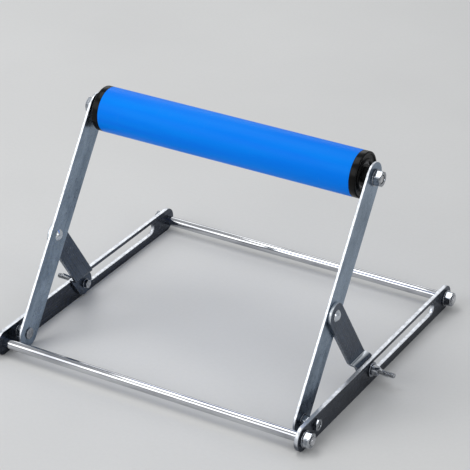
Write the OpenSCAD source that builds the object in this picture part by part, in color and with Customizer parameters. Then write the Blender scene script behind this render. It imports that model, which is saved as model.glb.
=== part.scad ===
/* [Base frame] */
// Width over the outer faces of the two rails
base_w = 400; // [340:5:600]
// Length of a rail over its round ends
rail_l = 390; // [370:5:510]
// Height of a rail bar
rail_h = 30; // [28:1:40]
// Thickness of a rail bar
rail_t = 5; // [4:0.5:8]
// Diameter of the front and rear rods
rod_d = 12; // [11:0.5:16]
// Distance from the front rod back to the pivots of the uprights
pivot_setback = 27.5; // [26:0.5:50]

/* [Swing frame] */
// Distance from the pivot to the roller axle
upright_l = 278; // [220:1:320]
// Width of an upright bar
bar_w = 35; // [28:0.5:36]
// Thickness of an upright bar
upright_t = 3; // [2.5:0.5:6]
// Angle of the uprights above the floor at the highest setting
lift_angle = 56; // [50:1:60]
// Free space between an upright and its rail
side_gap = 12; // [11.5:0.5:18]

/* [Braces and slots] */
// Distance between the two holes of a brace, and from the pivot up to the brace rivet
brace_l = 120; // [105:1:130]
// Width of a brace
brace_w = 30; // [25:0.5:31]
// Thickness of a brace
brace_t = 4; // [3:0.5:4]
// Inner radius of the two bends in a brace
bend_r = 1.5; // [0.5:0.1:1.8]
// Height of the slot in a rail
slot_h = 15; // [12:0.5:16]
// Distance from the rear rod forward to the rear end of the slot
slot_inset = 32; // [25:1:60]

/* [Roller] */
// Outer diameter of the steel tube in the roller
tube_d = 50; // [45:1:60]
// Wall of the steel tube
tube_t = 2; // [1.5:0.25:3]
// Thickness of the plastic sleeve over the tube
sleeve_t = 2; // [1:0.5:4]
// Free space between an end cap and its upright
cap_gap = 8; // [6:0.5:20]
// Length of an end cap outside the tube
cap_l = 8; // [6:0.5:10]
// Diameter of the axle inside the roller
axle_d = 12; // [11:0.5:13]

/* [Fasteners] */
// Thread of the axle ends and of the rod ends
end_thread_d = 10; // [8:0.5:10]
// Thread of the pivot bolts
pivot_d = 8; // [6:0.5:8]
// Thread of the clamp bolts
clamp_d = 6; // [5:0.5:8]
// Length of a clamp bolt under its head
clamp_bolt_l = 40; // [36:1:50]
// Reach of a wing of the wing nut from its axis
wing_r = 15; // [13:0.1:15.2]
// Height of the wing nut over its wings
wing_h = 16; // [14:0.5:20]

/* [Hidden] */
$fn = 96;

// Radial clearance of a pin that turns in its hole
run_fit = 0.05;
// Clearance between flat faces that slide on each other
slide_gap = 0.1;
// Radial clearance of a bolt in a plain hole
hole_gap = 0.25;
// Clearance of the swinging ends above the floor
floor_gap = 0.5;
// How far a cut runs past the face that it cuts
overrun = 1;

// Flat heads, hexagon nuts and washers of the pivots. A bolt ends inside its nut
pivot_hex = 13;
pivot_head_d = 14;
pivot_head_h = 1.2;
pivot_nut_h = 4;
pivot_sink = 1;
pivot_washer_d = 16;
pivot_washer_t = 1.6;

// Hexagon head and washers of the clamp bolts
clamp_hex = 10;
clamp_head_h = 4;
head_washer_d = 12;
slot_washer_d = 18;
clamp_washer_t = 1.6;

// Hexagon nuts and washers of the rod and axle ends. The axle ends inside its nuts
end_hex = 17;
end_nut_h = 8;
end_washer_d = 20;
end_washer_t = 2;
end_reach = 2;
axle_sink = 1;

// Planes across the width
rail_out_x = base_w / 2;
rail_in_x = rail_out_x - rail_t;
upright_out_x = rail_in_x - side_gap;
upright_in_x = upright_out_x - upright_t;

// Places along the depth and the height
rod_z = rail_h / 2;
rear_y = (rail_l - rail_h) / 2;
front_y = -rear_y;
pivot_y = front_y + pivot_setback;
pivot_z = bar_w / 2 + floor_gap;
rivet_y = pivot_y + brace_l * cos(lift_angle);
rivet_z = pivot_z + brace_l * sin(lift_angle);
clamp_y = pivot_y + 2 * brace_l * cos(lift_angle);
axle_y = pivot_y + upright_l * cos(lift_angle);
axle_z = pivot_z + upright_l * sin(lift_angle);

// Centres of the two arcs of a slot: the clamp bolt stops just short of the front end
stop_gap = 0.5;
slot_front_y = clamp_y - clamp_d / 2 - stop_gap + slot_h / 2;
slot_rear_y = rear_y - slot_inset - slot_h / 2;

// Bend of a brace, just over the top edge of the rail
bend_rise = 2;
brace_in_x = upright_out_x + slide_gap;
foot_out_x = rail_in_x - slide_gap;
foot_in_x = foot_out_x - brace_t;
ledge_z = rail_h + bend_rise;

// Rivet heads
rivet_d = 8;
rivet_head_d = 14;
rivet_head_h = 3.5;

// Bearing at each end of the roller
bearing_d = 32;
bearing_w = 10;
ball_d = 6;
ball_count = 7;
ring_wall_share = 0.3;
shield_t = 0.8;
pitch_r = (axle_d + bearing_d) / 4;
ring_gap = (bearing_d - axle_d) / 2;
inner_ring_d = axle_d + 2 * ring_gap * ring_wall_share;
outer_ring_d = bearing_d - 2 * ring_gap * ring_wall_share;

// Length of the roller's tube and sleeve, which leaves room for the caps between the uprights
tube_l = 2 * (upright_in_x - cap_gap - cap_l);

// End caps: a lip round a shallow dish, and a boss that holds the bearing
sleeve_d = tube_d + 2 * sleeve_t;
bore_d = tube_d - 2 * tube_t;
cap_end_x = tube_l / 2 + cap_l;
cap_edge = 0.8;
cap_lip_w = 2.5;
cap_dish = 1.5;
cap_boss_w = 2.5;
cap_plug_l = 14;
bearing_recess = 2;
bearing_out_x = cap_end_x - bearing_recess;
bearing_in_x = bearing_out_x - bearing_w;
spacer_d = 18;
cap_hole_d = 20;
axle_shoulder_x = upright_in_x - end_washer_t;
axle_end_x = upright_out_x + end_washer_t + end_nut_h - axle_sink;

// Wing nut
hub_d = 13;
hub_top_d = 10.5;
hub_h = 8;
wing_t = 2.6;
wing_tip_r = 3.2;
wing_foot = 1.4;
wing_waist_share = 0.55;
wing_turn = 45;
wing_nut_x = rail_out_x + slide_gap + clamp_washer_t + slide_gap;

// Cuts the soft corners of a hexagon
hex_corner_share = 0.12;

// Carries a flat outline, drawn in Y and Z, from x0 along X
module along_x(x0, length) {
    translate([x0, 0, 0])
        rotate([90, 0, 90])
            linear_extrude(length)
                children();
}

// Puts children, made along +X at the axis, at a place in Y and Z
module at_yz(y, z) {
    translate([0, y, z])
        children();
}

// A round bar or disc along X
module disc_x(x0, length, d) {
    translate([x0, 0, 0])
        rotate([0, 90, 0])
            cylinder(d = d, h = length);
}

// A flat ring along X
module ring_x(x0, length, outer, inner) {
    difference() {
        disc_x(x0, length, outer);
        disc_x(x0 - overrun, length + 2 * overrun, inner);
    }
}

// Turns an outline of [x, radius] points about the X axis
module turned_x(points) {
    rotate([0, 90, 0])
        rotate_extrude()
            polygon([for (p = points) [p[1], p[0]]]);
}

// A hexagon along X with its corners turned off at one end or at both
module hex_x(x0, length, flats, both = true) {
    corner_r = flats / sqrt(3);
    cut = flats * hex_corner_share;
    low = both ? cut / 2 : 0;
    intersection() {
        translate([x0, 0, 0])
            rotate([0, 90, 0])
                cylinder(r = corner_r, h = length, $fn = 6);
        turned_x([
            [x0, 0],
            [x0, corner_r - 2 * low],
            [x0 + low, corner_r],
            [x0 + length - cut / 2, corner_r],
            [x0 + length, corner_r - cut],
            [x0 + length, 0]
        ]);
    }
}

// A hexagon nut along X
module nut_x(x0, length, flats, d) {
    difference() {
        hex_x(x0, length, flats);
        disc_x(x0 - overrun, length + 2 * overrun, d);
    }
}

// A shallow dome that stands on the plane x0 and points to +X
module dome_x(x0, d, h) {
    ball_r = (h * h + d * d / 4) / (2 * h);
    intersection() {
        translate([x0 + h - ball_r, 0, 0])
            sphere(r = ball_r);
        disc_x(x0, h + overrun, d + 2 * overrun);
    }
}

// Outline of a bar with round ends, from the origin along the first axis
module bar_outline(length, width) {
    circle(d = width);
    translate([length, 0])
        circle(d = width);
    translate([0, -width / 2])
        square([length, width]);
}

// One of the same on each side
module both_sides() {
    children();
    mirror([1, 0, 0])
        children();
}

module rail() {
    color("lightsteelblue")
        difference() {
            along_x(rail_in_x, rail_t)
                translate([front_y, rod_z])
                    bar_outline(rear_y - front_y, rail_h);
            for (y = [front_y, rear_y])
                at_yz(y, rod_z)
                    disc_x(rail_in_x - overrun, rail_t + 2 * overrun, end_thread_d + 2 * hole_gap);
            at_yz(pivot_y, pivot_z)
                disc_x(rail_in_x - overrun, rail_t + 2 * overrun, pivot_d + 2 * hole_gap);
            along_x(rail_in_x - overrun, rail_t + 2 * overrun)
                translate([slot_front_y, pivot_z])
                    bar_outline(slot_rear_y - slot_front_y, slot_h);
        }
}

module left_rail() {
    mirror([1, 0, 0])
        rail();
}

module right_rail() {
    rail();
}

module cross_rod() {
    reach = rail_out_x + end_washer_t + end_nut_h + end_reach;
    color("gainsboro") {
        disc_x(-rail_in_x, 2 * rail_in_x, rod_d);
        disc_x(-reach, 2 * reach, end_thread_d);
    }
}

module front_rod() {
    at_yz(front_y, rod_z)
        cross_rod();
}

module rear_rod() {
    at_yz(rear_y, rod_z)
        cross_rod();
}

module rod_washers() {
    color("silver")
        both_sides()
            for (y = [front_y, rear_y])
                at_yz(y, rod_z)
                    ring_x(rail_out_x, end_washer_t, end_washer_d, end_thread_d);
}

module rod_nuts() {
    color("silver")
        both_sides()
            for (y = [front_y, rear_y])
                at_yz(y, rod_z)
                    nut_x(rail_out_x + end_washer_t, end_nut_h, end_hex, end_thread_d);
}

module pivot_bolts() {
    head_x = upright_in_x - slide_gap;
    end_x = rail_out_x + pivot_nut_h - pivot_sink;
    color("silver")
        both_sides()
            at_yz(pivot_y, pivot_z) {
                disc_x(head_x - pivot_head_h, pivot_head_h, pivot_head_d);
                disc_x(head_x, end_x - head_x, pivot_d);
            }
}

module pivot_washers() {
    faces = [upright_out_x + slide_gap, rail_in_x - pivot_washer_t];
    color("silver")
        both_sides()
            at_yz(pivot_y, pivot_z)
                for (x = faces)
                    ring_x(x, pivot_washer_t, pivot_washer_d, pivot_d);
}

module pivot_spacers() {
    spacer_x = upright_out_x + slide_gap + pivot_washer_t;
    color("gainsboro")
        both_sides()
            at_yz(pivot_y, pivot_z)
                nut_x(spacer_x, rail_in_x - pivot_washer_t - spacer_x, pivot_hex, pivot_d);
}

module pivot_nuts() {
    color("silver")
        both_sides()
            at_yz(pivot_y, pivot_z)
                nut_x(rail_out_x, pivot_nut_h, pivot_hex, pivot_d);
}

module upright() {
    color("lightsteelblue")
        difference() {
            along_x(upright_in_x, upright_t)
                translate([pivot_y, pivot_z])
                    rotate(lift_angle)
                        bar_outline(upright_l, bar_w);
            at_yz(pivot_y, pivot_z)
                disc_x(upright_in_x - overrun, upright_t + 2 * overrun, pivot_d + 2 * run_fit);
            at_yz(rivet_y, rivet_z)
                disc_x(upright_in_x - overrun, upright_t + 2 * overrun, rivet_d);
            at_yz(axle_y, axle_z)
                disc_x(upright_in_x - overrun, upright_t + 2 * overrun, end_thread_d + 2 * hole_gap);
        }
}

module left_upright() {
    mirror([1, 0, 0])
        upright();
}

module right_upright() {
    upright();
}

module brace_rivets() {
    head_x = brace_in_x + brace_t + slide_gap;
    color("gainsboro")
        both_sides()
            at_yz(rivet_y, rivet_z) {
                dome_x(head_x, rivet_head_d, rivet_head_h);
                disc_x(upright_in_x, head_x - upright_in_x, rivet_d);
                mirror([1, 0, 0])
                    dome_x(-upright_in_x, rivet_head_d, rivet_head_h);
            }
}

module axle() {
    color("silver")
        at_yz(axle_y, axle_z) {
            disc_x(-axle_shoulder_x, 2 * axle_shoulder_x, axle_d);
            disc_x(-axle_end_x, 2 * axle_end_x, end_thread_d);
        }
}

module axle_spacers() {
    color("gainsboro")
        both_sides()
            at_yz(axle_y, axle_z)
                ring_x(bearing_out_x, axle_shoulder_x - bearing_out_x, spacer_d, axle_d);
}

module axle_seat_washers() {
    color("silver")
        both_sides()
            at_yz(axle_y, axle_z)
                ring_x(axle_shoulder_x, end_washer_t, end_washer_d, end_thread_d);
}

module axle_washers() {
    color("silver")
        both_sides()
            at_yz(axle_y, axle_z)
                ring_x(upright_out_x, end_washer_t, end_washer_d, end_thread_d);
}

module axle_nuts() {
    color("silver")
        both_sides()
            at_yz(axle_y, axle_z)
                nut_x(upright_out_x + end_washer_t, end_nut_h, end_hex, end_thread_d);
}

// The groove that the balls run in, about the X axis
module ball_groove() {
    translate([bearing_in_x + bearing_w / 2, 0, 0])
        rotate([0, 90, 0])
            rotate_extrude()
                translate([pitch_r, 0])
                    circle(d = ball_d + 2 * run_fit);
}

module bearing_inner_rings() {
    color("dimgray")
        both_sides()
            at_yz(axle_y, axle_z)
                difference() {
                    ring_x(bearing_in_x, bearing_w, inner_ring_d, axle_d);
                    ball_groove();
                }
}

module bearing_outer_rings() {
    color("dimgray")
        both_sides()
            at_yz(axle_y, axle_z)
                difference() {
                    ring_x(bearing_in_x, bearing_w, bearing_d, outer_ring_d);
                    ball_groove();
                }
}

module at_balls() {
    for (i = [0 : ball_count - 1])
        rotate([i * 360 / ball_count, 0, 0])
            translate([bearing_in_x + bearing_w / 2, pitch_r, 0])
                children();
}

module bearing_balls() {
    color("white")
        both_sides()
            at_yz(axle_y, axle_z)
                at_balls()
                    sphere(d = ball_d);
}

module bearing_shields() {
    color("dimgray")
        both_sides()
            at_yz(axle_y, axle_z)
                for (x = [bearing_in_x, bearing_out_x - shield_t])
                    ring_x(x, shield_t, outer_ring_d, inner_ring_d + 2 * slide_gap);
}

// Side view of a brace: the leg on the upright, the ledge and the foot on the rail
module brace_fold() {
    bend_in = bend_r;
    bend_out = bend_r + brace_t;
    mid_x = brace_in_x + bend_out;
    leg_h = axle_z;
    translate([brace_in_x, ledge_z + bend_out])
        square([brace_t, leg_h]);
    translate([foot_in_x, -leg_h])
        square([brace_t, leg_h + ledge_z - bend_in]);
    translate([mid_x, ledge_z])
        square([foot_in_x - bend_in - mid_x, brace_t]);
    intersection() {
        translate([mid_x, ledge_z + bend_out])
            difference() {
                circle(r = bend_out);
                circle(r = bend_in);
            }
        translate([brace_in_x, ledge_z])
            square(bend_out);
    }
    intersection() {
        translate([foot_in_x - bend_in, ledge_z - bend_in])
            difference() {
                circle(r = bend_out);
                circle(r = bend_in);
            }
        translate([foot_in_x - bend_in, ledge_z - bend_in])
            square(bend_out);
    }
}

module brace() {
    hole_l = foot_out_x - brace_in_x + 2 * overrun;
    color("lightsteelblue")
        difference() {
            intersection() {
                along_x(brace_in_x, foot_out_x - brace_in_x)
                    translate([rivet_y, rivet_z])
                        rotate(-lift_angle)
                            bar_outline(brace_l, brace_w);
                translate([0, clamp_y + brace_l, 0])
                    rotate([90, 0, 0])
                        linear_extrude(2 * brace_l)
                            brace_fold();
            }
            at_yz(rivet_y, rivet_z)
                disc_x(brace_in_x - overrun, hole_l, rivet_d + 2 * run_fit);
            at_yz(clamp_y, pivot_z)
                disc_x(brace_in_x - overrun, hole_l, clamp_d);
        }
}

module left_brace() {
    mirror([1, 0, 0])
        brace();
}

module right_brace() {
    brace();
}

module clamp_bolt() {
    head_x = foot_in_x - clamp_washer_t;
    color("silver")
        at_yz(clamp_y, pivot_z) {
            mirror([1, 0, 0])
                hex_x(-head_x, clamp_head_h, clamp_hex, both = false);
            disc_x(head_x, clamp_bolt_l, clamp_d);
        }
}

module left_clamp_bolt() {
    mirror([1, 0, 0])
        clamp_bolt();
}

module right_clamp_bolt() {
    clamp_bolt();
}

module clamp_washers() {
    color("silver")
        at_yz(clamp_y, pivot_z) {
            ring_x(foot_in_x - clamp_washer_t, clamp_washer_t, head_washer_d, clamp_d);
            ring_x(rail_out_x + slide_gap, clamp_washer_t, slot_washer_d, clamp_d);
        }
}

module left_clamp_washers() {
    mirror([1, 0, 0])
        clamp_washers();
}

module right_clamp_washers() {
    clamp_washers();
}

// One wing, drawn with the radius along the first axis and the height along the second
module wing_outline() {
    tip = [wing_r - wing_tip_r, wing_h - wing_tip_r];
    lean = [hub_d / 2, wing_foot];
    translate(tip)
        circle(r = wing_tip_r);
    polygon([
        [0, wing_foot],
        lean,
        [tip[0] + wing_tip_r, tip[1]],
        [tip[0] - wing_tip_r, tip[1]],
        [hub_top_d / 2 * wing_waist_share, hub_h - wing_foot],
        [0, hub_h - wing_foot]
    ]);
}

module wing_nut() {
    color("gainsboro")
        at_yz(clamp_y, pivot_z)
            difference() {
                translate([wing_nut_x, 0, 0])
                    union() {
                        turned_x([
                            [0, 0],
                            [0, hub_d / 2],
                            [wing_foot, hub_d / 2],
                            [hub_h, hub_top_d / 2],
                            [hub_h, 0]
                        ]);
                        for (side = [0, 180])
                            rotate([side - wing_turn, 0, 0])
                                translate([0, 0, -wing_t / 2])
                                    mirror([1, -1, 0])
                                        linear_extrude(wing_t)
                                            wing_outline();
                    }
                disc_x(wing_nut_x - overrun, wing_h + 2 * overrun, clamp_d + 2 * run_fit);
            }
}

module left_wing_nut() {
    mirror([1, 0, 0])
        wing_nut();
}

module right_wing_nut() {
    wing_nut();
}

module roller_tube() {
    color("silver")
        at_yz(axle_y, axle_z)
            ring_x(-tube_l / 2, tube_l, tube_d, bore_d);
}

module roller_sleeve() {
    color("dodgerblue")
        at_yz(axle_y, axle_z)
            ring_x(-tube_l / 2, tube_l, sleeve_d, tube_d);
}

module end_cap() {
    rim_r = sleeve_d / 2;
    boss_r = bearing_d / 2 + cap_boss_w;
    dish_x = cap_end_x - cap_dish;
    plug_x = tube_l / 2 - cap_plug_l;
    color([0.1, 0.1, 0.1])
        at_yz(axle_y, axle_z)
            turned_x([
                [plug_x, cap_hole_d / 2],
                [plug_x, bore_d / 2],
                [tube_l / 2, bore_d / 2],
                [tube_l / 2, rim_r],
                [cap_end_x - cap_edge, rim_r],
                [cap_end_x, rim_r - cap_edge],
                [cap_end_x, rim_r - cap_lip_w],
                [dish_x, rim_r - cap_lip_w - cap_edge],
                [dish_x, boss_r + cap_edge],
                [cap_end_x, boss_r],
                [cap_end_x, bearing_d / 2],
                [bearing_in_x, bearing_d / 2],
                [bearing_in_x, cap_hole_d / 2]
            ]);
}

module left_end_cap() {
    mirror([1, 0, 0])
        end_cap();
}

module right_end_cap() {
    end_cap();
}

left_rail();
right_rail();
front_rod();
rear_rod();
rod_washers();
rod_nuts();
pivot_bolts();
pivot_washers();
pivot_spacers();
pivot_nuts();
left_upright();
right_upright();
brace_rivets();
axle();
axle_spacers();
axle_seat_washers();
axle_washers();
axle_nuts();
bearing_inner_rings();
left_brace();
left_clamp_bolt();
left_clamp_washers();
left_wing_nut();
right_brace();
right_clamp_bolt();
right_clamp_washers();
right_wing_nut();
roller_tube();
roller_sleeve();
left_end_cap();
right_end_cap();
bearing_outer_rings();
bearing_balls();
bearing_shields();
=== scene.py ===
"""Folding roller stand: slotted rails, cross rods, and a blue roller on uprights that braces hold up."""
import math

import bmesh
import bpy
from mathutils import Matrix, Vector


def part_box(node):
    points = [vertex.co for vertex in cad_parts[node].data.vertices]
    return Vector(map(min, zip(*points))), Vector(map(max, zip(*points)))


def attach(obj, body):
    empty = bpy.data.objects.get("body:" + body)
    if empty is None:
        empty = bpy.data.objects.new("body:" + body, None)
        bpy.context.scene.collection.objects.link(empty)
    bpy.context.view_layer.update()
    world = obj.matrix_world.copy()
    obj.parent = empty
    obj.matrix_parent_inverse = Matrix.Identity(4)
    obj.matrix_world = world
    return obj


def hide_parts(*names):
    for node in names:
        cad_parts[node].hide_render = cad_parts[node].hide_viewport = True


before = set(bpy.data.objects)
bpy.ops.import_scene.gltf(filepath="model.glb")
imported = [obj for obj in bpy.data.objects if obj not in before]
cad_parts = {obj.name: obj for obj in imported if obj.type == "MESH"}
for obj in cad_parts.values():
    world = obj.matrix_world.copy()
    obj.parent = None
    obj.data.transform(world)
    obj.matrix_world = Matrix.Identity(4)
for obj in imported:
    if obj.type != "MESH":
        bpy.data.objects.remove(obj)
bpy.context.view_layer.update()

MM = 0.001


# Places and planes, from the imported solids

def middle(node):
    """The middle of a node's box, as (y, z)."""
    low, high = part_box(node)
    return (low[1] + high[1]) / 2, (low[2] + high[2]) / 2


RAIL_IN, RAIL_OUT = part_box("right_rail")[0][0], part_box("right_rail")[1][0]
UP_IN, UP_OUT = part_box("right_upright")[0][0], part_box("right_upright")[1][0]
BRACE_IN, FOOT_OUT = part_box("right_brace")[0][0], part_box("right_brace")[1][0]
FRONT = middle("front_rod")
REAR = middle("rear_rod")
PIVOT = middle("pivot_bolts")
RIVET = middle("brace_rivets")
CLAMP = middle("right_clamp_bolt")
AXLE = middle("axle")
TUBE_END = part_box("roller_tube")[1][0]
CAP_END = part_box("right_end_cap")[1][0]
INNER_RING_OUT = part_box("bearing_inner_rings")[1][0]
OUTER_RING_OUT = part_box("bearing_outer_rings")[1][0]

# The angle of the uprights, and of the braces, above the floor
LIFT = math.radians(56)

# Sizes of the hardware
ROD_R = 6 * MM
END_R = 5 * MM
END_PITCH = 1.5 * MM
END_FLATS = 17 * MM
END_NUT_H = 8 * MM
END_WASHER_R = 10 * MM
END_WASHER_T = 2 * MM
ROD_STAND_OUT = 2 * MM
NUT_SINK = 1 * MM
PIVOT_R = 4 * MM
PIVOT_PITCH = 1.25 * MM
PIVOT_FLATS = 13 * MM
PIVOT_HEAD_R = 7 * MM
PIVOT_HEAD_H = 1.2 * MM
PIVOT_NUT_H = 4 * MM
PIVOT_WASHER_R = 8 * MM
CLAMP_R = 3 * MM
CLAMP_PITCH = 1 * MM
CLAMP_FLATS = 10 * MM
CLAMP_HEAD_H = 4 * MM
CLAMP_LONG = 40 * MM
HEAD_WASHER_R = 6 * MM
SLOT_WASHER_R = 9 * MM
THIN_WASHER_T = 1.6 * MM
SLIDE = 0.1 * MM
BRACE_T = 4 * MM
RIVET_R = 4 * MM
RIVET_HEAD_R = 7 * MM
RIVET_HEAD_H = 3.5 * MM

# Sizes of the wing nut
WING_H = 16 * MM
WING_R = 15 * MM
WING_TIP_R = 3.2 * MM
WING_T = 2.6 * MM
WING_FOOT = 1.4 * MM
WING_BORE = 3.05 * MM
WING_TURN = math.radians(45)
HUB_R = 6.5 * MM
HUB_TOP_R = 5.25 * MM
HUB_H = 8 * MM

# Sizes of the roller
SLEEVE_R = 27 * MM
TUBE_R = 25 * MM
BORE_R = 23 * MM
BEARING_R = 16 * MM
BEARING_W = 10 * MM
SPACER_R = 9 * MM
CAP_PLUG = 14 * MM
CAP_HOLE_R = 10 * MM
CAP_LIP = 2.5 * MM
CAP_DISH = 1.5 * MM
CAP_BOSS = 2.5 * MM
CAP_CHAMFER = 0.8 * MM

# Radii of rounded edges
RAIL_EDGE = 0.45 * MM
BAR_EDGE = 0.4 * MM
ROD_EDGE = 0.3 * MM
WASHER_EDGE = 0.35 * MM
SPACER_EDGE = 0.5 * MM
HEAD_EDGE = 0.4 * MM
HUB_EDGE = 0.5 * MM
SLEEVE_EDGE = 0.5 * MM
CAP_EDGE = 0.35 * MM

# Angles in degrees between faces, above which an edge is drawn sharp
SMOOTH = 40
CRISP = 28


# Shapes, each as (points, faces). Place is the (y, z) of the axis along X that they lie about

def soft(points, radius, closed=False):
    """The same outline with its corners rounded."""
    steps = 3
    out = []
    last = len(points) - 1
    for i, point in enumerate(points):
        here = Vector(point)
        if not closed and i in (0, last):
            out.append(here)
            continue
        back = Vector(points[i - 1]) - here
        on = Vector(points[(i + 1) % len(points)]) - here
        reach = min(radius, back.length * 0.45, on.length * 0.45)
        start, end = here + back.normalized() * reach, here + on.normalized() * reach
        for k in range(steps + 1):
            way = k / steps
            out.append(start * (1 - way) ** 2 + here * (2 * way * (1 - way)) + end * way ** 2)
    return out


def skin(rows, closed):
    """Faces between rows of points round an axis. A row of one point closes an end."""
    points, index = [], []
    for row in rows:
        index.append(range(len(points), len(points) + len(row)))
        points += row
    count = max(len(row) for row in rows)
    pairs = list(zip(index, index[1:]))
    if closed:
        pairs.append((index[-1], index[0]))
    faces = []
    for a, b in pairs:
        for i in range(count):
            j = (i + 1) % count
            corner = [a[i % len(a)], a[j % len(a)], b[j % len(b)], b[i % len(b)]]
            face = list(dict.fromkeys(corner))
            if len(face) > 2:
                faces.append(face)
    return points, faces


def about(place, x, r, angle):
    """The point at x that lies r from the axis, at an angle about it."""
    return x, place[0] + r * math.cos(angle), place[1] + r * math.sin(angle)


def turned(profile, place, count, closed=False):
    """A profile of (x, radius) turned about the axis."""
    rows = []
    for x, r in profile:
        steps = count if r > 1e-7 else 1
        rows.append([about(place, x, r, 2 * math.pi * i / count) for i in range(steps)])
    return skin(rows, closed)


def washer(x0, x1, outer, inner, place, edge=WASHER_EDGE):
    """A ring from x0 to x1 with rounded edges."""
    corners = [(x0, inner), (x0, outer), (x1, outer), (x1, inner)]
    return turned(soft(corners, edge, closed=True), place, count=72, closed=True)


def hexagon(x0, x1, flats, place, bore=0.0, both=True):
    """A nut, or a bolt head where bore is 0. Its corners are turned off at x1, and at x0 too if both."""
    count = 144
    corner_cut, corner_reach = 0.28 * MM, 0.55 * MM
    flat_r = flats / 2
    corner_r = flats / math.sqrt(3)
    face_r = flat_r * 0.95
    onward = 1 if x1 > x0 else -1
    slope = math.tan(math.radians(30)) * onward
    sink = 0.5 * MM * onward
    angles = [2 * math.pi * i / count for i in range(count)]

    def side(angle):
        """The radius of the six-sided outline, with its corners eased."""
        from_flat = (angle + math.pi / 6) % (math.pi / 3) - math.pi / 6
        near = flat_r / math.cos(from_flat)
        return near - corner_cut * max(0.0, 1 - (corner_r - near) / corner_reach) ** 2

    def ring(x, r):
        """A circle about the axis."""
        return [about(place, x, r, angle) for angle in angles]

    def rim(x, lean):
        """The outline, shifted from x by lean times how far its radius passes face_r."""
        return [about(place, x + lean * (side(angle) - face_r), side(angle), angle) for angle in angles]

    if bore:
        rows = [ring(x0 + sink, bore), ring(x0, bore + abs(sink))]
    else:
        rows = [[about(place, x0, 0, 0)]]
    if both:
        rows += [ring(x0, face_r), rim(x0, slope)]
    else:
        rows += [ring(x0, flat_r * 0.9), rim(x0 + sink * 0.3, 0)]
    rows += [rim(x1, -slope), ring(x1, face_r)]
    if bore:
        rows += [ring(x1, bore + abs(sink)), ring(x1 - sink, bore)]
    else:
        rows += [ring(x1, face_r * 0.8), [about(place, x1, 0, 0)]]
    return skin(rows, bool(bore))


def thread(x0, x1, radius, pitch, place, hand=1):
    """A screw thread from x0 out to a chamfered end at x1. Its core starts a little inside the shank."""
    count, rows_a_turn = 40, 7
    depth = 0.6 * pitch
    start = x0 - 0.2 * MM
    rows = [[(start, place[0], place[1])]]
    steps = max(2, round((x1 - x0) / pitch * rows_a_turn))
    for k in range(steps + 1):
        x = x0 + (x1 - x0) * k / steps if k else start
        ring = []
        for i in range(count):
            phase = ((x - x0) / pitch - hand * i / count) % 1.0
            cut = min(1.0, max(0.0, abs(phase - 0.5) * 2.6 - 0.3))  # 0 on the flat crest, 1 in the root
            chamfer = radius - depth + max(0.0, x1 - x - 0.1 * pitch)
            r = min(radius - depth * cut, chamfer) if k else radius - depth
            ring.append(about(place, x, r, 2 * math.pi * i / count))
        rows.append(ring)
    rows.append([(x1, place[0], place[1])])
    return skin(rows, False)


def mirrored(shape):
    """The same shape on the left side."""
    points, faces = shape
    return [(-p[0], p[1], p[2]) for p in points], [list(reversed(f)) for f in faces]


def both_sides(*shapes):
    """Each shape and its mirror image."""
    out = []
    for shape in shapes:
        out += [shape, mirrored(shape)]
    return out


def threads_both(x0, x1, radius, pitch, place):
    """A right-hand thread on each side."""
    return [thread(x0, x1, radius, pitch, place), mirrored(thread(x0, x1, radius, pitch, place, -1))]


def mesh_of(name, shapes, sharp=SMOOTH):
    """One mesh of all the shapes, smooth but for edges sharper than the angle given."""
    bm = bmesh.new()
    for points, faces in shapes:
        made = [bm.verts.new(p) for p in points]
        part = [bm.faces.new([made[i] for i in f]) for f in faces]
        bmesh.ops.recalc_face_normals(bm, faces=part)
    mesh = bpy.data.meshes.new(name)
    bm.to_mesh(mesh)
    bm.free()
    mesh.polygons.foreach_set("use_smooth", [True] * len(mesh.polygons))
    mesh.set_sharp_from_angle(angle=math.radians(sharp))
    return mesh


def piece(node, mesh, body, material):
    """The new piece that stands for a node and rides on a body."""
    obj = bpy.data.objects.new(node + "_piece", mesh)
    bpy.context.scene.collection.objects.link(obj)
    mesh.materials.append(material)
    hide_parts(node)
    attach(obj, body)


def shaped(node, shapes, body, material, sharp=SMOOTH):
    """The new piece made of these shapes."""
    piece(node, mesh_of(node, shapes, sharp), body, material)


# Materials

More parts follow.
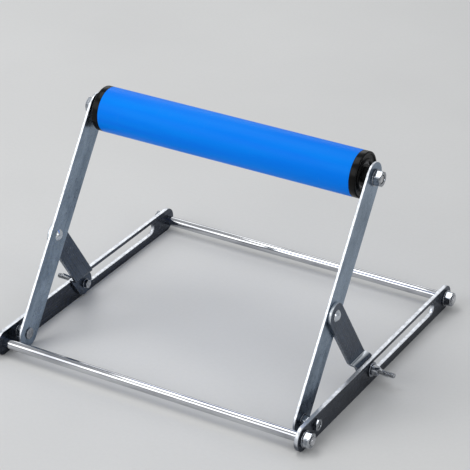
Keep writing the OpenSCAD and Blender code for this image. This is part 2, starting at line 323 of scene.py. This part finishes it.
class Tree:
    """A material's nodes, added one line at a time."""

    def __init__(self, name):
        self.material = bpy.data.materials.new(name)
        self.material.use_nodes = True
        self.tree = self.material.node_tree
        self.tree.nodes.clear()

    def add(self, kind, inputs=(), **settings):
        """A shader node with these inputs and settings."""
        node = self.tree.nodes.new("ShaderNode" + kind)
        for key, value in settings.items():
            setattr(node, key, value)
        for key, value in dict(inputs).items():
            self.put(node.inputs[key], value)
        return node

    def put(self, socket, value):
        """Links another node's output to the socket, or sets its value."""
        if isinstance(value, bpy.types.NodeSocket):
            self.tree.links.new(value, socket)
        elif socket.type == "RGBA":
            socket.default_value = (*value, 1.0)
        else:
            socket.default_value = value

    def calc(self, operation, a, b=0.0, clamp=False):
        """Arithmetic on one or two values."""
        node = self.add("Math", {0: a, 1: b}, operation=operation, use_clamp=clamp)
        return node.outputs[0]

    def span(self, value, low, high, to_low=0.0, to_high=1.0):
        """The value's stretch from low to high, mapped to another stretch and held at its ends."""
        node = self.add("MapRange", {0: value, 1: low, 2: high, 3: to_low, 4: to_high})
        return node.outputs[0]

    def spread(self, noise, to_low=0.0, to_high=1.0):
        """The stretch in which a noise mostly lies, mapped to another."""
        return self.span(noise, 0.3, 0.7, to_low, to_high)

    def mix(self, share, a, b):
        """Colour a going over to colour b; the node keeps its colours in sockets 6, 7 and 2."""
        node = self.add("Mix", {0: share, 6: a, 7: b}, data_type="RGBA")
        return node.outputs[2]

    def where(self, scale=(1, 1, 1), turn=(0, 0, 0)):
        """The place on the object in metres, turned and then scaled."""
        coord = self.add("TexCoord").outputs["Object"]
        turned_to = self.add("Mapping", {"Vector": coord, "Rotation": turn}).outputs[0]
        return self.add("Mapping", {"Vector": turned_to, "Scale": scale}).outputs[0]

    def noise(self, vector, scale, detail=3.0, rough=0.55, distortion=0.0):
        """Cloudy noise, mostly between 0.3 and 0.7."""
        node = self.add("TexNoise", {"Vector": vector, "Scale": scale, "Detail": detail, "Roughness": rough,
                                     "Distortion": distortion})
        return node.outputs["Fac"]

    def edge(self, radius):
        """1 along the edges of the piece, 0 on its faces."""
        soft_normal = self.add("Bevel", {"Radius": radius}, samples=6).outputs[0]
        own = self.add("NewGeometry").outputs["Normal"]
        dot = self.add("VectorMath", {0: soft_normal, 1: own}, operation="DOT_PRODUCT").outputs["Value"]
        return self.span(self.calc("SUBTRACT", 1.0, dot), 0.01, 0.2)

    def painted_shade(self, reach):
        """0.9 in corners and under neighbours, 0 in the open: how much painted shade falls there, measured
        by ambient occlusion.
        """
        open_share = self.add("AmbientOcclusion", {"Distance": reach}, samples=8).outputs["AO"]
        return self.span(open_share, 0.25, 0.75, 0.9, 0.0)

    def bump(self, height, strength, distance, normal=None):
        """A normal that shows the height, on top of another normal if one is given."""
        inputs = {"Height": height, "Strength": strength, "Distance": distance}
        if normal is not None:
            inputs["Normal"] = normal
        return self.add("Bump", inputs).outputs[0]

    def finish(self, **inputs):
        """Closes the material with a shader that has these inputs."""
        names = {"base": "Base Color", "metallic": "Metallic", "rough": "Roughness", "normal": "Normal",
                 "specular": "Specular IOR Level", "ior": "IOR"}
        shader = self.add("BsdfPrincipled", {names[k]: v for k, v in inputs.items()})
        out = self.add("OutputMaterial")
        self.tree.links.new(shader.outputs[0], out.inputs["Surface"])
        return self.material


def plated_bar(name, deep, pale, wear_and_highlight, turn, rough):
    """Zinc-plated rolled bar: grain along its length, cloudy tint, scratches, bright edges from wear, and a
    painted highlight on its narrow faces that face up.
    """
    t = Tree(name)
    grain = t.noise(t.where((1500, 9, 1500), turn), 1.0, 3, 0.6)
    clouds = t.noise(t.where((1, 0.45, 1), turn), 38, 4, 0.6, 0.6)
    mottle = t.noise(t.where(), 170, 4, 0.65)
    scratch_at = t.where((2400, 55, 2400), (turn[0] + 0.45, 0.1, 0.05))
    scratch = t.calc("MULTIPLY", t.span(t.noise(scratch_at, 1.0, 2, 0.5), 0.66, 0.72),
                     t.span(t.noise(t.where(), 24, 2, 0.5), 0.45, 0.6))
    tint = t.calc("ADD", t.span(clouds, 0.32, 0.68), t.span(mottle, 0.35, 0.65, -0.22, 0.22), clamp=True)
    base = t.mix(tint, deep, pale)
    base = t.mix(t.span(grain, 0.4, 0.75, 0.0, 0.07), base, wear_and_highlight)
    base = t.mix(t.calc("MULTIPLY", scratch, 0.3), base, wear_and_highlight)
    rub = t.calc("MULTIPLY", t.edge(0.9 * MM), t.span(mottle, 0.3, 0.6, 0.45, 1.0))
    base = t.mix(rub, base, wear_and_highlight)
    normals = t.add("SeparateXYZ", {0: t.add("TexCoord").outputs["Normal"]})
    facing, upward = normals.outputs["X"], normals.outputs["Z"]
    cut_face = t.span(t.calc("ABSOLUTE", facing), 0.75, 0.35)
    # Painted highlight: the narrow cut faces turn paler, fully where they face up and only faintly where
    # they face down.
    painted_narrow_face_highlight = t.calc("MULTIPLY", cut_face, t.span(upward, -0.25, 0.15, 0.12, 1.0))
    base = t.mix(painted_narrow_face_highlight, base, t.mix(t.span(mottle, 0.35, 0.65), wear_and_highlight, tuple(c * 0.8 for c in wear_and_highlight)))
    roughness = t.calc("ADD", t.spread(mottle, rough - 0.07, rough + 0.09), t.spread(grain, -0.05, 0.07))
    roughness = t.calc("ADD", roughness, t.calc("MULTIPLY", cut_face, 0.1))
    normal = t.bump(grain, 0.12, 0.01 * MM)
    normal = t.bump(mottle, 0.18, 0.10 * MM, normal)
    normal = t.bump(scratch, -0.2, 0.01 * MM, normal)
    return t.finish(base=base, metallic=1.0, rough=roughness, normal=normal)


def bright_zinc(name, pale, deep, rough, scale=260):
    """Small plated hardware: bright, a little uneven, duller in places, with painted shade in its corners
    and recesses.
    """
    t = Tree(name)
    cloud = t.noise(t.where(), scale, 4, 0.6, 0.4)
    fine = t.noise(t.where(), scale * 7, 3, 0.6)
    base = t.mix(t.span(cloud, 0.35, 0.65), pale, deep)
    base = t.mix(t.edge(0.4 * MM), base, (0.93, 0.93, 0.94))
    # Painted shade: the colour goes almost black in corners, in recesses and under neighbouring parts.
    base = t.mix(t.painted_shade(4 * MM), base, (0.055, 0.058, 0.065))
    roughness = t.calc("ADD", t.spread(cloud, rough - 0.06, rough + 0.08), t.spread(fine, -0.03, 0.05))
    normal = t.bump(cloud, 0.2, 0.12 * MM)
    normal = t.bump(fine, 0.15, 0.02 * MM, normal)
    return t.finish(base=base, metallic=1.0, rough=roughness, normal=normal)


def polished_rod():
    """Chromed round bar: fine rings from the polishing, faint smears along it."""
    t = Tree("chromed_rod")
    rings = t.noise(t.where((2600, 20, 20)), 1.0, 2, 0.5)
    smear = t.noise(t.where((18, 120, 120)), 1.0, 4, 0.6, 0.5)
    pits = t.span(t.noise(t.where(), 1400, 2, 0.5), 0.72, 0.8)
    base = t.mix(t.span(smear, 0.35, 0.7), (0.64, 0.65, 0.67), (0.38, 0.39, 0.42))
    base = t.mix(t.calc("MULTIPLY", pits, 0.5), base, (0.32, 0.32, 0.33))
    roughness = t.calc("ADD", t.span(smear, 0.35, 0.7, 0.06, 0.12), t.spread(rings, 0.0, 0.04))
    normal = t.bump(rings, 0.12, 0.01 * MM)
    normal = t.bump(pits, -0.3, 0.03 * MM, normal)
    return t.finish(base=base, metallic=1.0, rough=roughness, normal=normal)


def turned_steel(name, pale, rough):
    """Machined steel: fine turning rings about the roller's axis."""
    t = Tree(name)
    rings = t.noise(t.where((1800, 60, 60)), 1.0, 3, 0.6)
    cloud = t.noise(t.where(), 150, 4, 0.6)
    base = t.mix(t.spread(cloud), pale, tuple(c * 0.72 for c in pale))
    base = t.mix(t.edge(0.4 * MM), base, (0.8, 0.8, 0.8))
    roughness = t.calc("ADD", t.spread(cloud, rough, rough + 0.1), t.spread(rings, -0.04, 0.06))
    return t.finish(base=base, metallic=1.0, rough=roughness, normal=t.bump(rings, 0.25, 0.02 * MM))


def blue_sleeve():
    """Blue plastic sleeve: satin, slight flow marks, fine scuffs round it, paler abraded ends."""
    t = Tree("blue_plastic")
    flow = t.noise(t.where((6, 60, 60)), 1.0, 3, 0.5, 0.3)
    peel = t.noise(t.where(), 900, 2, 0.5)
    scuff_at = t.where((700, 40, 40), (0, 0.06, 0.04))
    scuff = t.calc("MULTIPLY", t.span(t.noise(scuff_at, 1.0, 3, 0.6), 0.62, 0.72),
                   t.span(t.noise(t.where(), 30, 2, 0.5), 0.48, 0.62))
    base = t.mix(t.spread(flow), (0.0, 0.21, 0.97), (0.0, 0.255, 1.0))
    base = t.mix(t.calc("MULTIPLY", scuff, 0.16), base, (0.12, 0.36, 0.95))
    base = t.mix(t.calc("MULTIPLY", t.edge(0.6 * MM), 0.3), base, (0.10, 0.34, 0.95))
    roughness = t.calc("ADD", t.spread(flow, 0.36, 0.43), t.calc("MULTIPLY", scuff, 0.2))
    normal = t.bump(peel, 0.12, 0.03 * MM)
    normal = t.bump(flow, 0.25, 0.15 * MM, normal)
    return t.finish(base=base, rough=roughness, normal=normal, ior=1.15)


def black_cap():
    """Moulded black plastic: fine spark texture, greyer at abraded edges."""
    t = Tree("black_plastic")
    spark = t.noise(t.where(), 2200, 3, 0.6)
    cloud = t.noise(t.where(), 120, 3, 0.5)
    base = t.mix(t.spread(cloud), (0.002, 0.002, 0.002), (0.005, 0.005, 0.005))
    base = t.mix(t.calc("MULTIPLY", t.edge(0.7 * MM), 0.5), base, (0.10, 0.10, 0.10))
    roughness = t.calc("ADD", t.spread(cloud, 0.18, 0.27), t.spread(spark, -0.03, 0.05))
    return t.finish(base=base, rough=roughness, normal=t.bump(spark, 0.2, 0.03 * MM), ior=1.22)


def black_rubber():
    """Seals and spacers by the bearings: dull black, a little dusty."""
    t = Tree("black_seal")
    dust = t.noise(t.where(), 420, 4, 0.65)
    base = t.mix(t.span(dust, 0.45, 0.75), (0.006, 0.006, 0.006), (0.03, 0.03, 0.029))
    roughness = t.spread(dust, 0.42, 0.6)
    return t.finish(base=base, rough=roughness, normal=t.bump(dust, 0.2, 0.04 * MM), specular=0.35)


def pale_floor():
    """Matt studio floor, faintly cloudy."""
    t = Tree("pale_floor")
    cloud = t.noise(t.where(), 3.0, 4, 0.5)
    fine = t.noise(t.where(), 220, 3, 0.6)
    base = t.mix(t.spread(cloud), (0.72, 0.72, 0.715), (0.76, 0.76, 0.755))
    base = t.mix(t.span(fine, 0.35, 0.65, 0.0, 0.12), base, (0.64, 0.64, 0.64))
    return t.finish(base=base, rough=0.9, normal=t.bump(fine, 0.12, 0.1 * MM), specular=0.1)


ALONG_RAIL = (0.0, 0.0, 0.0)
ALONG_UPRIGHT = (-LIFT, 0.0, 0.0)
ALONG_BRACE = (LIFT, 0.0, 0.0)
# Pale colours for the bars, used both for real wear on edges, scratches and grain and for the painted
# highlight on narrow faces.
WEAR_AND_HIGHLIGHT = (0.80, 0.83, 0.88)
PALE_WEAR_AND_HIGHLIGHT = (0.84, 0.89, 0.94)
# One zinc plating in lit and shaded copies: painted shade gives the rails and braces far darker colours than
# the uprights.
RAIL = plated_bar("rail_plate", (0.021, 0.028, 0.044), (0.046, 0.058, 0.084), WEAR_AND_HIGHLIGHT, ALONG_RAIL, 0.27)
BAR = plated_bar("upright_plate", (0.16, 0.215, 0.285), (0.29, 0.365, 0.46), WEAR_AND_HIGHLIGHT, ALONG_UPRIGHT, 0.28)
BRACE = plated_bar("brace_plate", (0.025, 0.038, 0.064), (0.056, 0.079, 0.118), PALE_WEAR_AND_HIGHLIGHT, ALONG_BRACE, 0.28)
ZINC = bright_zinc("fastener_plate", (0.50, 0.52, 0.55), (0.19, 0.21, 0.24), 0.09)
WASHER = bright_zinc("washer_plate", (0.44, 0.46, 0.50), (0.20, 0.22, 0.26), 0.15, 180)
RIVET_METAL = bright_zinc("rivet_plate", (0.80, 0.84, 0.88), (0.46, 0.50, 0.56), 0.13, 140)
CAST_ZINC = bright_zinc("wing_nut_plate", (0.78, 0.80, 0.83), (0.30, 0.32, 0.36), 0.12, 200)
CHROME = polished_rod()
AXLE_STEEL = turned_steel("axle_turned", (0.66, 0.67, 0.69), 0.22)
BEARING = turned_steel("bearing_ground", (0.10, 0.10, 0.11), 0.22)
TUBE = turned_steel("tube_drawn", (0.42, 0.43, 0.45), 0.34)
BLUE = blue_sleeve()
BLACK = black_cap()
SEAL = black_rubber()


# Bars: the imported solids, with their edges broken

def repaint(node, material):
    """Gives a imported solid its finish."""
    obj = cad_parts[node]
    if not obj.material_slots:
        obj.data.materials.append(material)
    for slot in obj.material_slots:
        slot.link = "OBJECT"
        slot.material = material
    return obj


def broken_edges(node, material, width):
    """A packed bar whose sharp edges are rounded off by modifiers."""
    obj = repaint(node, material)
    weld = obj.modifiers.new("weld", "WELD")
    weld.merge_threshold = 0.005 * MM
    flat = obj.modifiers.new("flat", "DECIMATE")
    flat.decimate_type = "DISSOLVE"
    flat.angle_limit = math.radians(0.5)
    edge = obj.modifiers.new("edge", "BEVEL")
    edge.width = width
    edge.segments = 2
    edge.limit_method = "ANGLE"
    edge.angle_limit = math.radians(40)
    edge.use_clamp_overlap = False
    edge.harden_normals = True


def packed_pieces():
    """Finishes for the solids that are shown as they were packed."""
    for side in ("left", "right"):
        broken_edges(side + "_rail", RAIL, RAIL_EDGE)
        broken_edges(side + "_upright", BAR, BAR_EDGE)
        broken_edges(side + "_brace", BRACE, BAR_EDGE)
    for node in ("bearing_inner_rings", "bearing_outer_rings", "bearing_balls"):
        repaint(node, BEARING)
    repaint("bearing_shields", SEAL)
    repaint("roller_tube", TUBE)


packed_pieces()


# Base: rods, nuts, washers and pivots

def necked_bar(shoulder, neck, end, place):
    """A round bar from side to side, thinner from the shoulder on and threaded from the neck to the end."""
    body = soft([(-shoulder, END_R), (-shoulder, ROD_R), (shoulder, ROD_R), (shoulder, END_R)], ROD_EDGE)
    profile = [(-neck, 0), (-neck, END_R), *body, (neck, END_R), (neck, 0)]
    return [turned(profile, place, count=72)] + threads_both(neck, end, END_R, END_PITCH, place)


def end_washers(x, place):
    """A washer for an M10 end on each side, from x out."""
    return both_sides(washer(x, x + END_WASHER_T, END_WASHER_R, END_R, place))


def end_nuts(x, place):
    """A nut for an M10 end on each side, from x out."""
    return both_sides(hexagon(x, x + END_NUT_H, END_FLATS, place, END_R))


def cross_rods():
    """Both rods, with a washer and a nut at each end."""
    nut_x = RAIL_OUT + END_WASHER_T
    rod_end = nut_x + END_NUT_H + ROD_STAND_OUT
    for node, place in (("front_rod", FRONT), ("rear_rod", REAR)):
        shaped(node, necked_bar(RAIL_IN, RAIL_OUT, rod_end, place), "base", CHROME)
    washers, nuts = [], []
    for place in (FRONT, REAR):
        washers += end_washers(RAIL_OUT, place)
        nuts += end_nuts(nut_x, place)
    shaped("rod_washers", washers, "base", WASHER)
    shaped("rod_nuts", nuts, "base", ZINC, CRISP)


def pivots():
    """On each side a bolt with a flat head, two washers, a spacer between the bars and a thin nut."""
    head_x = UP_IN - SLIDE
    head_top = head_x - PIVOT_HEAD_H
    bolt_end = RAIL_OUT + PIVOT_NUT_H - NUT_SINK
    head = [(head_top, 0), (head_top, PIVOT_HEAD_R), (head_x, PIVOT_HEAD_R), (head_x, 0)]
    shank = [(head_x, 0), (head_x, PIVOT_R), (RAIL_OUT, PIVOT_R), (RAIL_OUT, 0)]
    bolts = both_sides(turned(soft(head, HEAD_EDGE), PIVOT, count=72), turned(shank, PIVOT, count=48))
    bolts += threads_both(RAIL_OUT, bolt_end, PIVOT_R, PIVOT_PITCH, PIVOT)
    shaped("pivot_bolts", bolts, "base", ZINC, CRISP)

    inner_x, outer_x = UP_OUT + SLIDE, RAIL_IN - THIN_WASHER_T
    rings = []
    for x in (inner_x, outer_x):
        rings += both_sides(washer(x, x + THIN_WASHER_T, PIVOT_WASHER_R, PIVOT_R, PIVOT))
    shaped("pivot_washers", rings, "base", WASHER)

    spacers = both_sides(hexagon(inner_x + THIN_WASHER_T, outer_x, PIVOT_FLATS, PIVOT, PIVOT_R))
    shaped("pivot_spacers", spacers, "base", ZINC, CRISP)
    nuts = both_sides(hexagon(RAIL_OUT, RAIL_OUT + PIVOT_NUT_H, PIVOT_FLATS, PIVOT, PIVOT_R))
    shaped("pivot_nuts", nuts, "base", ZINC, CRISP)


cross_rods()
pivots()


# Swing frame: rivets, axle and what holds it

def dome(x0, out, radius, height):
    """The profile of a rivet head that rises from x0 towards out, 1 or -1."""
    steps = 9
    ball = (height ** 2 + radius ** 2) / (2 * height)
    points = []
    for k in range(steps + 1):
        r = radius * (1 - k / steps)
        points.append((x0 + out * (height - ball + math.sqrt(ball ** 2 - r ** 2)), r))
    return points


def rivets():
    """On each side a rivet through upright and brace, domed at both ends."""
    outer_x = BRACE_IN + BRACE_T + SLIDE
    profile = list(reversed(dome(UP_IN, -1, RIVET_HEAD_R, RIVET_HEAD_H)))
    profile += [(UP_IN, RIVET_R), (outer_x, RIVET_R)]
    profile += dome(outer_x, 1, RIVET_HEAD_R, RIVET_HEAD_H)
    shapes = both_sides(turned(profile, RIVET, count=56))
    shaped("brace_rivets", shapes, "swing_frame", RIVET_METAL)


def axle_parts():
    """The axle, and on each side a spacer, a washer inside the upright, one outside and a nut."""
    shoulder = UP_IN - END_WASHER_T
    nut_x = UP_OUT + END_WASHER_T
    axle = necked_bar(shoulder, UP_OUT, nut_x + END_NUT_H - NUT_SINK, AXLE)
    shaped("axle", axle, "swing_frame", AXLE_STEEL)
    spacers = both_sides(washer(INNER_RING_OUT, shoulder, SPACER_R, ROD_R, AXLE, SPACER_EDGE))
    shaped("axle_spacers", spacers, "swing_frame", SEAL)
    shaped("axle_seat_washers", end_washers(shoulder, AXLE), "swing_frame", WASHER)
    shaped("axle_washers", end_washers(UP_OUT, AXLE), "swing_frame", WASHER)
    shaped("axle_nuts", end_nuts(nut_x, AXLE), "swing_frame", ZINC, CRISP)


rivets()
axle_parts()


# Clamps: a bolt through the foot of each brace and the slot, and a wing nut on it
FOOT_IN = FOOT_OUT - BRACE_T
CLAMP_HEAD_X = FOOT_IN - THIN_WASHER_T
SLOT_WASHER_X = RAIL_OUT + SLIDE
WING_X = SLOT_WASHER_X + THIN_WASHER_T + SLIDE


def clamp_bolt(hand):
    """The right side's bolt; hand is -1 for the one that is then mirrored to the left."""
    shank = [(CLAMP_HEAD_X, 0), (CLAMP_HEAD_X, CLAMP_R), (RAIL_OUT, CLAMP_R), (RAIL_OUT, 0)]
    return [
        hexagon(CLAMP_HEAD_X, CLAMP_HEAD_X - CLAMP_HEAD_H, CLAMP_FLATS, CLAMP, both=False),
        turned(shank, CLAMP, count=40),
        thread(RAIL_OUT, CLAMP_HEAD_X + CLAMP_LONG, CLAMP_R, CLAMP_PITCH, CLAMP, hand),
    ]


def clamp_washers():
    """The right side's washers, under the bolt's head and over the slot."""
    return [
        washer(CLAMP_HEAD_X, FOOT_IN, HEAD_WASHER_R, CLAMP_R, CLAMP),
        washer(SLOT_WASHER_X, SLOT_WASHER_X + THIN_WASHER_T, SLOT_WASHER_R, CLAMP_R, CLAMP),
    ]


def wing_outline():
    """One wing, radius along the first axis and height along the second."""
    root = WING_BORE + 0.9 * MM
    top = HUB_H - WING_FOOT
    tip = Vector((WING_R - WING_TIP_R, WING_H - WING_TIP_R))
    points = [Vector((root, WING_FOOT)), Vector((HUB_R, WING_FOOT))]
    steps = 12
    for k in range(steps + 1):
        angle = math.pi * k / steps
        points.append(tip + Vector((math.cos(angle), math.sin(angle))) * WING_TIP_R)
    points += [Vector((HUB_TOP_R * 0.85, top)), Vector((root, top))]
    return points


def wing(turn):
    """One wing as a flat plate, turned about the hub."""
    outline = wing_outline()
    points = []
    for half in (-WING_T / 2, WING_T / 2):
        for out, height in outline:
            points.append((height, out * math.cos(turn) - half * math.sin(turn),
                           out * math.sin(turn) + half * math.cos(turn)))
    n = len(outline)
    faces = [list(range(n)), list(range(n, 2 * n))]
    faces += [[i, (i + 1) % n, n + (i + 1) % n, n + i] for i in range(n)]
    return points, faces


def wing_nut_mesh(name):
    """Hub and wings cast as one, blended by a fine remesh."""
    hub = [(0, WING_BORE), (0, HUB_R), (WING_FOOT, HUB_R), (HUB_H, HUB_TOP_R), (HUB_H, WING_BORE)]
    hub_shape = turned(soft(hub, HUB_EDGE, closed=True), (0, 0), count=56, closed=True)
    shapes = [hub_shape, wing(-WING_TURN), wing(math.pi - WING_TURN)]
    obj = bpy.data.objects.new(name, mesh_of(name, shapes))
    bpy.context.scene.collection.objects.link(obj)
    grid = obj.modifiers.new("grid", "REMESH")
    grid.mode = "VOXEL"
    grid.voxel_size = 0.28 * MM
    ease = obj.modifiers.new("ease", "SMOOTH")
    ease.factor = 0.5
    ease.iterations = 5
    made = bpy.data.meshes.new_from_object(obj.evaluated_get(bpy.context.evaluated_depsgraph_get()))
    bpy.data.objects.remove(obj)
    made.polygons.foreach_set("use_smooth", [True] * len(made.polygons))
    return made


def clamps():
    """The clamp bolt, its washers and the wing nut on each side. The left ones are mirrored."""
    cast = wing_nut_mesh("wing_nut_cast")
    for side, sign in (("left", -1), ("right", 1)):
        arm = side + "_brace_arm"
        bolt, rings = clamp_bolt(sign), clamp_washers()
        nut = cast.copy()
        nut.transform(Matrix.Translation((WING_X, CLAMP[0], CLAMP[1])))
        if sign < 0:
            bolt, rings = [mirrored(s) for s in bolt], [mirrored(s) for s in rings]
            nut.transform(Matrix.Diagonal((-1, 1, 1, 1)))
            nut.flip_normals()
        shaped(side + "_clamp_bolt", bolt, arm, ZINC, CRISP)
        shaped(side + "_clamp_washers", rings, arm, WASHER)
        piece(side + "_wing_nut", nut, side + "_wing", CAST_ZINC)


clamps()


# Roller: sleeve and end caps

def end_cap():
    """A cap with a lip over the sleeve, a shallow dish, a boss round the bearing and a plug in the tube."""
    plug_x = TUBE_END - CAP_PLUG
    dish_x = CAP_END - CAP_DISH
    lip_r = SLEEVE_R - CAP_LIP
    boss_r = BEARING_R + CAP_BOSS
    bearing_in = OUTER_RING_OUT - BEARING_W
    points = [
        (plug_x, CAP_HOLE_R), (plug_x, BORE_R), (TUBE_END, BORE_R), (TUBE_END, SLEEVE_R),
        (CAP_END - CAP_CHAMFER, SLEEVE_R), (CAP_END, SLEEVE_R - CAP_CHAMFER), (CAP_END, lip_r),
        (dish_x, lip_r - CAP_CHAMFER), (dish_x, boss_r + CAP_CHAMFER), (CAP_END, boss_r),
        (CAP_END, BEARING_R), (bearing_in, BEARING_R), (bearing_in, CAP_HOLE_R),
    ]
    return turned(soft(points, CAP_EDGE, closed=True), AXLE, count=128, closed=True)


def roller():
    """The blue sleeve and its two black caps."""
    wall = [(-TUBE_END, TUBE_R), (-TUBE_END, SLEEVE_R), (TUBE_END, SLEEVE_R), (TUBE_END, TUBE_R)]
    sleeve = turned(soft(wall, SLEEVE_EDGE, closed=True), AXLE, count=160, closed=True)
    shaped("roller_sleeve", [sleeve], "roller", BLUE)
    cap = end_cap()
    shaped("right_end_cap", [cap], "roller", BLACK)
    shaped("left_end_cap", [mirrored(cap)], "roller", BLACK)


roller()


# Floor, light and camera

def floor_disc(radius, z, material):
    """The floor, which is no part of the object."""
    count = 96
    points = [(radius * math.cos(2 * math.pi * i / count), radius * math.sin(2 * math.pi * i / count), z)
              for i in range(count)]
    mesh = bpy.data.meshes.new("floor")
    mesh.from_pydata(points, [], [list(range(count))])
    mesh.materials.append(material)
    obj = bpy.data.objects.new("floor", mesh)
    bpy.context.scene.collection.objects.link(obj)


def soft_box(name, place, aim, width, height, power):
    """A rectangular lamp at place, turned towards aim. Sizes in metres, power in watts."""
    light = bpy.data.lights.new(name, "AREA")
    light.shape = "RECTANGLE"
    light.size, light.size_y, light.energy = width, height, power
    obj = bpy.data.objects.new(name, light)
    obj.location = place
    obj.rotation_euler = (Vector(aim) - Vector(place)).to_track_quat("-Z", "Y").to_euler()
    bpy.context.scene.collection.objects.link(obj)


def studio_world():
    """Even, slightly cool light all round, and a pale backdrop for the camera alone."""
    world = bpy.data.worlds.new("studio")
    bpy.context.scene.world = world
    world.use_nodes = True
    tree = world.node_tree
    tree.nodes.clear()
    path = tree.nodes.new("ShaderNodeLightPath")
    light = tree.nodes.new("ShaderNodeBackground")
    light.inputs["Color"].default_value = (0.96, 0.98, 1.0, 1)
    light.inputs["Strength"].default_value = 0.5
    backdrop = tree.nodes.new("ShaderNodeBackground")
    backdrop.inputs["Color"].default_value = (0.82, 0.83, 0.84, 1)
    backdrop.inputs["Strength"].default_value = 0.95
    both = tree.nodes.new("ShaderNodeMixShader")
    tree.links.new(path.outputs["Is Camera Ray"], both.inputs[0])
    tree.links.new(light.outputs[0], both.inputs[1])
    tree.links.new(backdrop.outputs[0], both.inputs[2])
    out = tree.nodes.new("ShaderNodeOutputWorld")
    tree.links.new(both.outputs[0], out.inputs["Surface"])


def photo_camera():
    """The photo's camera: its place, turn and lens, fitted to edges measured in the photo."""
    data = bpy.data.cameras.new("camera")
    data.lens = 164.75
    data.sensor_width = 36.0
    data.shift_y = -0.0064
    data.clip_start, data.clip_end = 0.05, 60
    cam = bpy.data.objects.new("camera", data)
    place = Vector((1.10017, -1.91653, 1.30001))
    right = Vector((0.86622192, 0.49955907, 0.01001633))
    up = Vector((-0.24112146, 0.4003724, 0.88406017))
    turn = Matrix((right, up, right.cross(up))).transposed().to_4x4()
    cam.matrix_world = Matrix.Translation(place) @ turn
    bpy.context.scene.collection.objects.link(cam)
    bpy.context.scene.camera = cam


floor_disc(radius=14.0, z=-0.05 * MM, material=pale_floor())
soft_box("key", (-1.05, -1.95, 1.35), (0, 0, 0.12), 2.2, 1.3, 18)
soft_box("back", (-1.1, 1.75, 1.22), (0, 0, 0.1), 1.6, 0.9, 5.5)
soft_box("top", (-0.72, -0.05, 2.1), (0, 0, 0.1), 1.2, 0.9, 11)
soft_box("side", (2.1, -0.75, 0.75), (0.2, 0, 0.12), 0.4, 0.8, 3.5)
studio_world()
photo_camera()
bpy.context.scene.view_settings.view_transform = "Standard"
